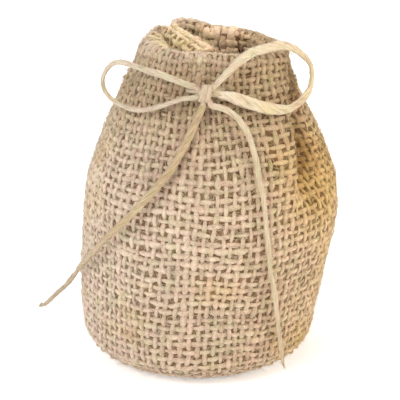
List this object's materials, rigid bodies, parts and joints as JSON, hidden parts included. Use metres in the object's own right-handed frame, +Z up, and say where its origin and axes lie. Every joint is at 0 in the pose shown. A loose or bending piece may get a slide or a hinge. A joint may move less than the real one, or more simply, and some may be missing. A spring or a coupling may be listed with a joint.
{
  "type": "drawstring gift pouch",
  "caption": "Small woven jute pouch on a round base, drawn in at its neck by a cord tied in a bow at the front.",
  "frame": {"origin": "centre of the round base, on the surface the pouch stands on", "axes": "+Z up through the mouth, -Y towards the front with the bow, +X to the right seen from the front"},
  "size_m": [0.0766, 0.063, 0.0827],
  "materials": {
    "hessian": "coarse matte plain weave",
    "jute_cord": "pale fibrous untwisted jute, faint sheen",
    "thread": "matte cotton sewing thread"
  },
  "bodies": {
    "pouch": {"base_panel": "hessian", "wall_panel": "hessian", "base_seam_stitches": "thread", "side_seam_allowance": "hessian", "side_seam_stitches": "thread", "hem_sides": "hessian", "hem_stitches_sides": "thread", "drawstring_sides": "jute_cord"},
    "mouth_front": {"front_lip_wall": "hessian", "front_lip_hem": "hessian", "front_lip_stitches": "thread", "drawstring_front": "jute_cord", "bow_knot": "jute_cord"},
    "mouth_back": {"back_lip_wall": "hessian", "back_lip_hem": "hessian", "back_lip_stitches": "thread", "drawstring_back": "jute_cord", "back_lip_seam_allowance": "hessian"},
    "loop_left": {"bow_loop_left": "jute_cord"},
    "loop_right": {"bow_loop_right": "jute_cord"},
    "tail_left": {"cord_tail_left": "jute_cord"},
    "tail_right": {"cord_tail_right": "jute_cord"}
  },
  "joints": [
    {"name": "mouth_front_open", "type": "slide", "parent": "pouch", "child": "mouth_front", "axis": [0, -1, 0], "range_m": [0, 0.006]},
    {"name": "mouth_back_open", "type": "slide", "parent": "pouch", "child": "mouth_back", "axis": [0, 1, 0], "range_m": [0, 0.006]},
    {"name": "loop_left_swing", "type": "hinge", "parent": "mouth_front", "child": "loop_left", "pos_m": [0, -0.0226, 0.073], "axis": [0, -0.927, 0.375], "range_deg": [-25, 5]},
    {"name": "loop_right_swing", "type": "hinge", "parent": "mouth_front", "child": "loop_right", "pos_m": [0, -0.0226, 0.073], "axis": [0, -0.927, 0.375], "range_deg": [-5, 25]},
    {"name": "tail_left_swing", "type": "hinge", "parent": "mouth_front", "child": "tail_left", "pos_m": [0, -0.0226, 0.073], "axis": [0, -0.927, 0.375], "range_deg": [-15, 0]},
    {"name": "tail_right_swing", "type": "hinge", "parent": "mouth_front", "child": "tail_right", "pos_m": [0, -0.0226, 0.073], "axis": [0, -0.927, 0.375], "range_deg": [0, 15]}
  ],
  "couplings": [
    {"joint": "mouth_back_open", "follows": "mouth_front_open", "ratio": 1}
  ]
}
